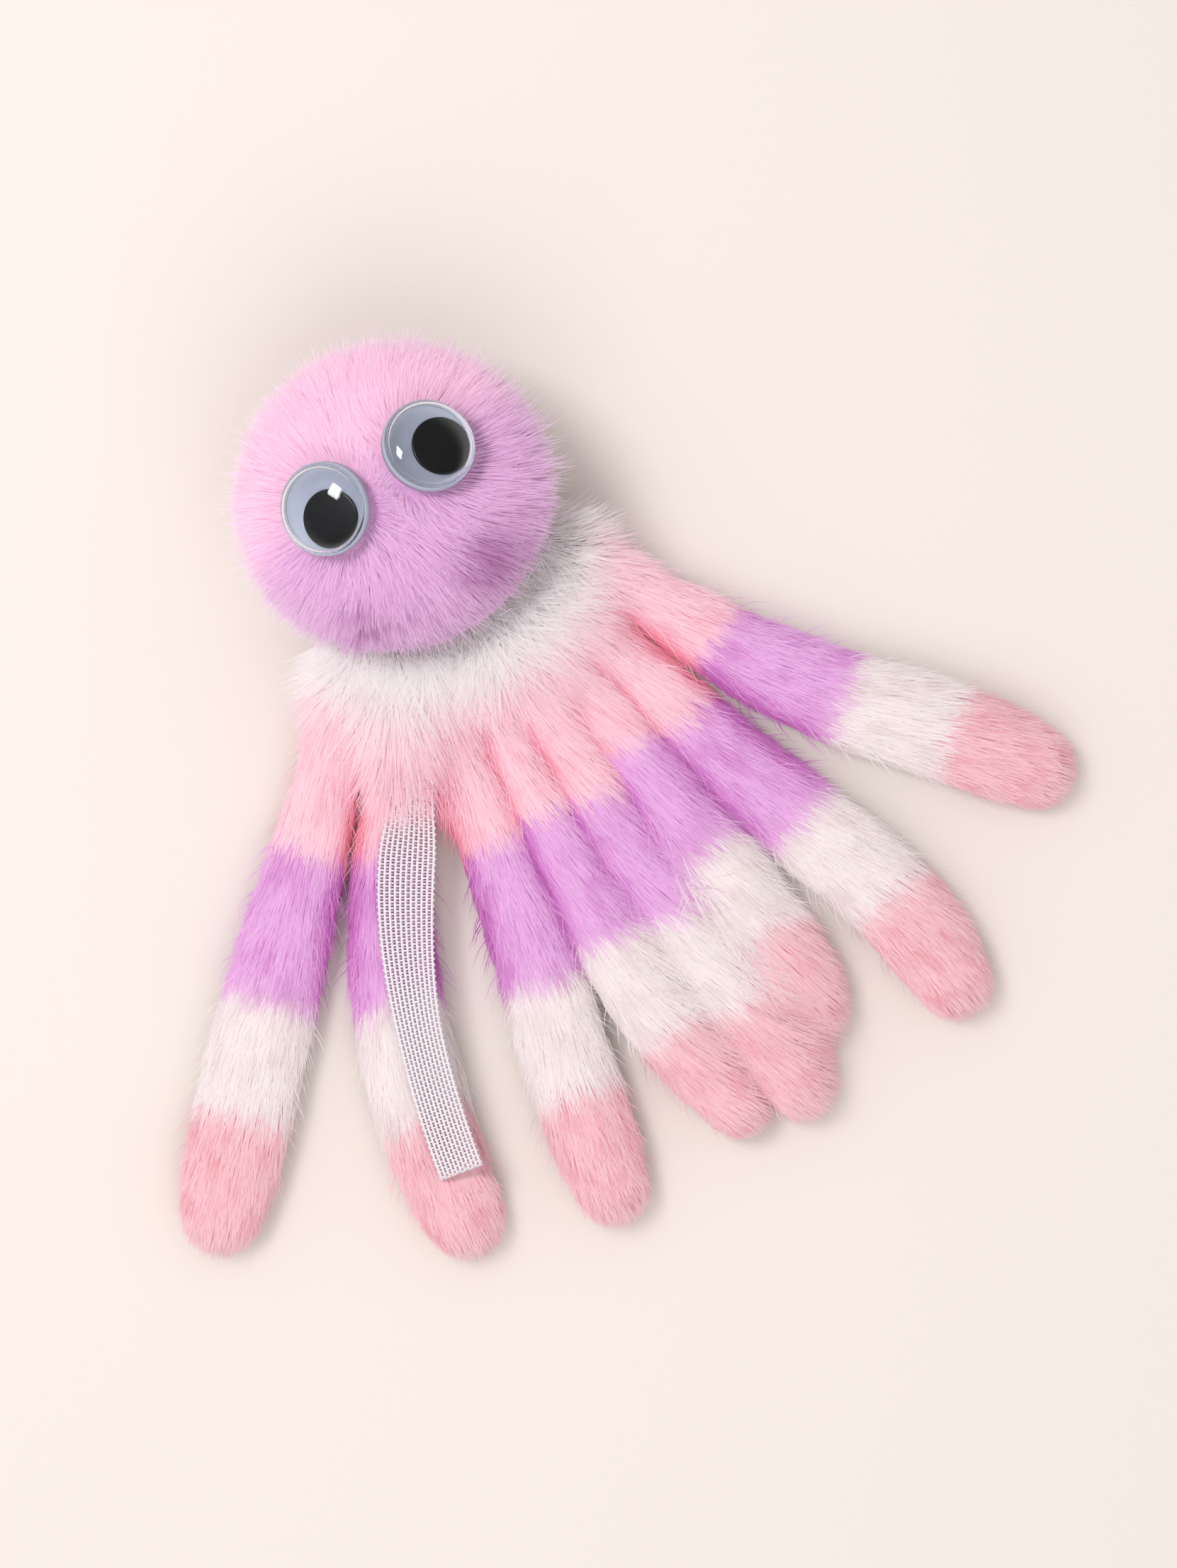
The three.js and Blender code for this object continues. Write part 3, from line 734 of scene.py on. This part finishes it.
def leg_tube(leg):
    """The skin's points and faces, and what each point knows: its share of the leg's length, its ways along
    and aside, and how far it lies across the leg and above its middle."""
    share, beyond, scale, tip_length = leg_profile(leg)
    places, along, aside = leg_line(leg, share)
    width, height = leg_size(leg, share)
    proud = root_proud + proud_rise * eased(share, 0.08, 0.3)
    centre = places + along * (beyond * (1 + np.maximum(proud, 0) / tip_length))[:, None]
    angle = np.linspace(0, 2 * math.pi, leg_sides, endpoint=False)
    half_width, half_height = (((size / 2 + proud) * scale)[:, None, None] for size in (width, height))
    ring = centre[:, None] + aside[:, None] * half_width * np.cos(angle)[None, :, None]
    ring = ring + upright * half_height * np.sin(angle)[None, :, None]
    rings = len(ring) - 2
    points = np.concatenate((centre[:1], ring[1:-1].reshape(-1, 3), centre[-1:]))
    points[:, 2] = np.maximum(points[:, 2], lying_height)
    whole_share = (share * leg["length"] + np.maximum(beyond, 0)) / leg["length"]
    by_ring = [
        np.concatenate((values[:1], np.repeat(values[1:-1], leg_sides, axis=0), values[-1:]))
        for values in (whole_share, along, aside)]
    by_side = [np.concatenate(([0], np.tile(values, rings), [0])) for values in (np.cos(angle), np.sin(angle))]
    return points, ring_faces(rings, leg_sides), *by_ring, *by_side


print(f"{leg_rings + 2 * cap_rings - 1} rings of {leg_sides} points for a leg")

# %% [markdown]
# The pile on a leg isn't even. It is long and upright in the ruff at the neck, full on the shoulder, short at
# the tip, and stands up where two legs meet. Under the tape it is pressed flat in a shallow bed.

# %% The legs' pile
ruff_ends, shoulder_ends, gap_shade_ends = (
    ((-0.02, 0.04), (0.05, 0.15)), ((0.06, 0.16), (0.3, 0.46)), ((0.08, 0.16), (0.4, 0.62)))
flank_ends = ((-0.85, -0.2), (0.1, 0.95))
tape_half, bed_edge, bed_depth, beyond_fold = 4.6 * mm, 2 * mm, 1.3 * mm, 3 * mm
bed_heights, bed_shown, brushed = (4 * mm, 7 * mm), (0.21, 0.29), (5 * mm, 9 * mm)
combing = (  # the comb's turn in degrees, the fluff, and the side that meets a neighbour
    (0, 1, 0), (0, 1, 0), (0, 1, 0), (12, 0.9, 1), (15, 1.3, 1), (14, 1.25, -1), (8, 1, 0), (5, 1, 0))


def from_tape(points, end, count):
    """How far each point lies from the tape in plan, up to this share of the route."""
    places = tape_line(np.linspace(0, end, count))[0]
    return np.linalg.norm(points[:, None, :2] - places[None, :, :2], axis=2).min(axis=1)


def leg_skin(leg, comb_turn, fluff, meets):
    """The leg's skin, which says at each point how the pile lies and how long it is."""
    points, faces, share, along, aside, across, above = leg_tube(leg)
    turn = math.radians(comb_turn)
    way = along * math.cos(turn) + aside * math.sin(turn)
    upward = eased(above, 0, 0.7)
    ruff, shoulder, gap = (stretch(share, *ends) for ends in (ruff_ends, shoulder_ends, gap_shade_ends))
    ruff = ruff * upward
    tip_end = eased(share, 0.84, 0.97)
    lean = 0.5 + 0.37 * eased(share, 0.03, 0.22) - 0.24 * ruff
    length = (1.2 - 0.2 * eased(share, 0.05, 0.25) + 0.75 * ruff) * fluff
    length = length * (1 + 0.15 * shoulder) * (1 - 0.5 * tip_end)
    meeting = eased(across * meets, 0.2, 0.9) * eased(share, 0.35, 0.6)
    lean, length = lean - 0.3 * meeting, length + 0.45 * meeting * (1 - tip_end)
    outer = shoulder * eased(np.abs(across), 0.3, 0.9) * (above > -0.5)
    lean, length = lean + 0.04 * outer, length - 0.1 * outer
    has_neighbour = np.where(across < 0, leg is not legs[0], leg is not legs[-1])
    # painted shade: the flanks that face a neighbouring leg, from near the neck to past the middle, are marked to be
    # painted deeper
    gap_shade = stretch(above, *flank_ends) * has_neighbour * gap
    if leg is carrier:
        away = from_tape(points, end=1, count=60)
        away = np.where(share > loop_reach / leg["length"], away + beyond_fold, away)
        near = (1 - eased(away, tape_half, tape_half + bed_edge)) * eased(points[:, 2], *bed_heights)
        shown = eased(share, *bed_shown)
        under, over = near * shown, near * (1 - shown)
        points[:, 2] -= under * bed_depth
        length = length * (1 - 0.75 * under + 0.6 * over)
        lean = lean + (0.95 - lean) * under + (0.5 - lean) * over
    if leg is legs[2]:
        beside = (1 - eased(from_tape(points, end=0.25, count=20), *brushed)) * eased(above, -0.3, 0.3)
        lean, length = lean - 0.22 * beside, length + 0.6 * beside
        way = way - aside * (0.6 * beside)[:, None]
    thick = 1 + 2.5 * (1 - eased(share, 0.06, 0.2)) * upward
    extra = {"share": share, "gap_shade": gap_shade, "thick": thick}
    return skin_mesh(leg["name"], points, faces, way, lean, length, extra)


first_seed = 10
for i, leg in enumerate(legs):
    skin = leg_skin(leg, *combing[i])
    volume = turned_out(skin)
    mesh = grown(f"{leg['name']}_pile", skin, pile, {"Finish": leg_finish, "Seed": first_seed + i})
    lay_out(mesh, skin)
    piece = object_from(f"{leg['name']}_pile", mesh)
    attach(piece, leg["name"])
    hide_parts(leg["name"])
    print(f"{leg['name']}: volume {volume / mm**3:.0f} mm3, {len(mesh.polygons)} faces")

# %% [markdown]
# ## Head
# The ball's pile is longer, pink at the crown and lilac over the face, and combed outwards from a point at the
# left eye's inner edge. Its skin is a plain ball with a few values on each point: the lean, which is away
# from that point and from the nearest eye, and how long the pile is, which is nothing under the eyes.

# %% The head's finish
head_finish, tree, shader = material_with("face_pile", **pile_shine)
face_lilac, crown_pink, parting_tone = linear(230, 176, 225), linear(255, 209, 236), linear(178, 92, 170)
pinker = add(tree, "ShaderNodeClamp", {0: scattered(tree, read_value(tree, "pink"), 0.35)}).outputs[0]
ground = mixed(tree, pinker, face_lilac, crown_pink)
parted = product(tree, dark_locks(tree, 0.4), read_value(tree, "parting"))
deep = add(tree, "ShaderNodeClamp", {0: calculate(tree, "ADD", read_value(tree, "deep"), parted)}).outputs[0]
ground = mixed(tree, deep, ground, parting_tone)
# painted rim light: the tips are a little paler everywhere and much paler on the ball's sides, painted as a halo of
# light shining through the fibres
rim = calculate(tree, "ADD", product(tree, read_value(tree, "rim"), 0.6), 0.25)
strand = read_value(tree, "strand")
fibre(tree, shader, ground, pale=linear(255, 241, 247), paleness=rim, chance=strand, contrast=0.1)
print("pink at the crown, lilac on the face, darker in the partings")

# %% The eyes' places
eye_radius, backing_height, dome_height, dome_side = 9 * mm, 0.8 * mm, 4.6 * mm, 1.4 * mm
glue_height, dome_wall, pupil_radius, pupil_height = 0.8 * mm, 0.7 * mm, 5.65 * mm, 0.8 * mm
eyes = [
    {"name": "left_eye", "aside": -23, "above": 7, "pupil_turn": -83},
    {"name": "right_eye", "aside": 20.5, "above": 8, "pupil_turn": -32},
]
for eye in eyes:
    across, along = (math.sin(math.radians(eye[key])) for key in ("aside", "above"))
    eye["facing"] = Vector((across, along, math.sqrt(1 - across**2 - along**2)))
    eye["base"] = head_centre + eye["facing"] * (head_radius + fit_gap)
    eye["turn"] = Vector((0, 0, 1)).rotation_difference(eye["facing"])
    print(eye["name"], "looks along", [round(x, 2) for x in eye["facing"]])

# %% The head's skin
skin_inset, lowest_skin, eye_ring, eye_tuck, out_of_reach = 0.5 * mm, 0.4 * mm, 5 * mm, 0.2 * mm, 1.0
ball_stretch, comb_source = np.array((1.01, 0.985, 1.0)), np.array((-0.15, 0.03, 1.0))


def square_to(axis, vectors):
    """The part of each vector that is square to the axis."""
    return vectors - axis * (vectors @ axis)[:, None]


def head_skin():
    ball = bmesh.new()
    bmesh.ops.create_icosphere(ball, subdivisions=5, radius=head_radius - skin_inset)
    ball.verts.index_update()
    points = np.array([v.co for v in ball.verts])
    faces = [tuple(v.index for v in face.verts) for face in ball.faces]
    ball.free()
    normal = points / np.linalg.norm(points, axis=1)[:, None]
    points = points * ball_stretch + np.array(head_centre)
    points[:, 2] = np.maximum(points[:, 2], lowest_skin)

    # combed away from one point, and near an eye away from that eye
    source = comb_source / np.linalg.norm(comb_source)
    comb = normal * (normal @ source)[:, None] - source
    rel = points - np.array(head_centre)
    facings = [np.array(eye["facing"]) for eye in eyes]
    aways = [
        np.where(rel @ facing > 0, np.linalg.norm(square_to(facing, rel), axis=1), out_of_reach)
        for facing in facings]
    nears = [1 - eased(away, eye_radius, eye_radius + eye_ring) for away in aways]
    for facing, near, other in zip(facings, nears, nears[::-1]):
        comb = comb + square_to(facing, normal) * (1.6 * near * (1 - other))[:, None]
    strength = np.linalg.norm(comb, axis=1)
    comb = comb / np.maximum(strength, 1e-9)[:, None]

    # short in the middle of the face and longer outwards, with none under the eyes
    x, y, z = normal.T
    angle = np.arccos(np.clip(normal @ source, -1, 1))
    lean = (0.76 + 0.08 * eased(angle, 0.6, 1.4)) * eased(strength, 0.0, 0.15)
    length = 0.5 + 0.2 * eased(angle, 0, 0.3) + 0.35 * eased(angle, 0.3, 1.1)
    length = length * (1 - 0.4 * eased(-y, 0.35, 0.9) - 0.22 * eased(y, 0.2, 0.9))
    length = length * (1 - 0.12 * eased(-x, 0.4, 0.95)) * (1 - 0.35 * nears[0] * nears[1])
    length = np.where(np.minimum(*aways) < eye_radius - eye_tuck, 0, length)

    def patch(across, along, width, height):
        return np.exp(-(((x - across) / width) ** 2 + ((y - along) / height) ** 2)) * (z > 0)

    pink = eased(y + 0.5 * np.maximum(-x - 0.45, 0), -0.02, 0.42)
    low = eased(-y, 0.3, 0.7)
    chin, low_left = patch(0.3, -0.64, 0.2, 0.2), patch(-0.55, -0.6, 0.25, 0.2)
    tones = {
        "pink": pink,
        "deep": chin + 0.3 * low_left,
        "parting": 0.8 * low + 1.6 * low_left + 0.9 * chin,
        # painted rim light: where the ball's surface turns to the side the tips are painted paler, less so on the
        # side towards the legs
        "rim": (1 - eased(z, 0.1, 0.7)) * (1 - 0.7 * low),
    }
    return skin_mesh("head", points, faces, comb, lean, length, tones)


# %% The head's pile
skin = head_skin()
turned_out(skin)
mesh = grown("head_pile", skin, pile, {
    "Finish": head_finish, "Seed": 3, "Strands per square metre": 6.7e6, "Tufts per square metre": 1.6e5,
    "Length": 9.5 * mm, "Width": 0.21 * mm, "Tuft pull": 0.45, "Disorder": 0.1, "Stray share": 0.04})
lay_out(mesh, skin)
piece = object_from("head_pile", mesh)
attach(piece, "head")
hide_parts("head_cover")
print(f"head: {len(mesh.polygons)} faces")

# %% [markdown]
# ## Eyes
# Each eye is a disc with a clear moulded dome and a loose black pupil between. A dome is thin and hollow, so
# it is made as a wall with two faces, turned on its axis. Glass stops lamps in a path tracer, and a shadow
# would lie on the disc, so rays from lamps pass a clear stand-in.

# %% The eyes' finishes
glass_tint = linear(252, 253, 255)
backing_finish = material_with("eye_disc", Roughness=0.45, Base_Color=linear(176, 181, 198))[0]
pupil_finish = material_with("eye_pupil", Roughness=0.3, Base_Color=linear(12, 12, 14))[0]
dome_finish, tree, shader = material_with(
    "eye_dome", Roughness=0.03, Base_Color=glass_tint, Transmission_Weight=1, IOR=1.49)
clear_to_lamps(tree, shader, glass_tint)
print("a disc, a pupil and a clear finish")

# %% Turned pieces
rim_wall, rim_height, seam, pupil_edge = 0.3 * mm, 1.0 * mm, 0.02 * mm, 0.25 * mm
edge_points, dome_points = 6, 24
backing_base = glue_height + fit_gap
dome_base = backing_base + backing_height + fit_gap
disc_height = backing_height + fit_gap - seam


def turned_mesh(name, outline, sides=96):
    """A closed piece turned about Z, from an outline of radius and height that starts and ends on the axis."""
    turns = np.linspace(0, 2 * math.pi, sides, endpoint=False)
    ring = np.stack((np.cos(turns), np.sin(turns), np.zeros(sides)), axis=-1)
    outline = np.array(outline)
    inner = ring[None] * outline[1:-1, 0][:, None, None] + upright * outline[1:-1, 1][:, None, None]
    points = np.concatenate(([(0, 0, outline[0, 1])], inner.reshape(-1, 3), [(0, 0, outline[-1, 1])]))
    mesh = bpy.data.meshes.new(name)
    mesh.from_pydata(points.tolist(), [], ring_faces(len(inner), sides))
    turned_out(mesh)
    mesh.shade_smooth()
    return mesh


def rounded_disc(radius, base, height, edge):
    outline = [(0, base)]
    for first, level in ((-90, base + edge), (0, base + height - edge)):
        for turn in np.radians(np.linspace(first, first + 90, edge_points)):
            outline.append((radius - edge + edge * math.cos(turn), level + edge * math.sin(turn)))
    return outline + [(0, base + height)]


def cup_outline(base):
    """A disc with a low rim that holds the dome."""
    seat, brim, inner = base + disc_height, base + disc_height + rim_height, eye_radius - rim_wall
    return [(0, base), (eye_radius, base), (eye_radius, brim), (inner, brim), (inner, seat), (0, seat)]


def dome_outline(base):
    """Down the outside of the dome, across its rim and up the inside, from the axis to the axis."""

    def side(radius, height):
        line = [(radius, base)]
        for turn in np.radians(np.linspace(0, 90, dome_points)):
            line.append((radius * math.cos(turn), base + dome_side + (height - dome_side) * math.sin(turn)))
        return line[:-1] + [(0, base + height)]

    outer = eye_radius - rim_wall - seam
    return side(outer, dome_height)[::-1] + side(outer - dome_wall, dome_height - dome_wall)


print(f"each dome starts {dome_base / mm:.1f} mm above the cover")


# %% The eyes
pupil_aside = eye_radius - dome_wall - pupil_radius - fit_gap
for eye in eyes:
    name = eye["name"]
    roll = math.radians(eye["pupil_turn"])
    shift = Vector((math.cos(roll), math.sin(roll), 0)) * pupil_aside
    pupil_body = name.replace("eye", "pupil")
    pupil_outline = rounded_disc(pupil_radius, dome_base, pupil_height, pupil_edge)
    pieces = (
        ("backing", "disc", cup_outline(backing_base), backing_finish, "head", Vector()),
        ("dome", "clear_dome", dome_outline(dome_base), dome_finish, "head", Vector()),
        ("pupil", "loose_pupil", pupil_outline, pupil_finish, pupil_body, shift),
    )
    for part, look, outline, finish, body, offset in pieces:
        mesh = turned_mesh(f"{name}_{look}", outline)
        for vertex in mesh.vertices:
            vertex.co = eye["base"] + eye["turn"] @ (vertex.co + offset)
        mesh.materials.append(finish)
        piece = object_from(mesh.name, mesh)
        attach(piece, body)
        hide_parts(f"{name}_{part}")
    print(name, "has its disc, dome and pupil")

# %% [markdown]
# ## What the pile hides
# The filling, the thread that gathers the neck and the glue under the eyes keep their solids' shapes. They
# get plain finishes of their own, because they show when the toy is taken apart.

# %% Hidden finishes
hidden = {
    "head_stuffing": ("filling_fibre", linear(246, 243, 238), 0.95),
    "neck_thread": ("neck_thread", linear(240, 222, 226), 0.8),
    "left_eye_glue_pad": ("glue", linear(232, 228, 214), 0.45),
    "right_eye_glue_pad": ("glue", linear(232, 228, 214), 0.45),
}
shade = 0.88
for node, (name, colour, rough) in hidden.items():
    finish = bpy.data.materials.get(name)
    if finish is None:
        finish, tree, shader = material_with(name, Roughness=rough)
        speckle(tree, shader, (*[x * shade for x in colour[:3]], 1), colour, scale=400.0)
    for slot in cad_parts[node].material_slots:
        slot.material = finish
print("hidden pieces finished")
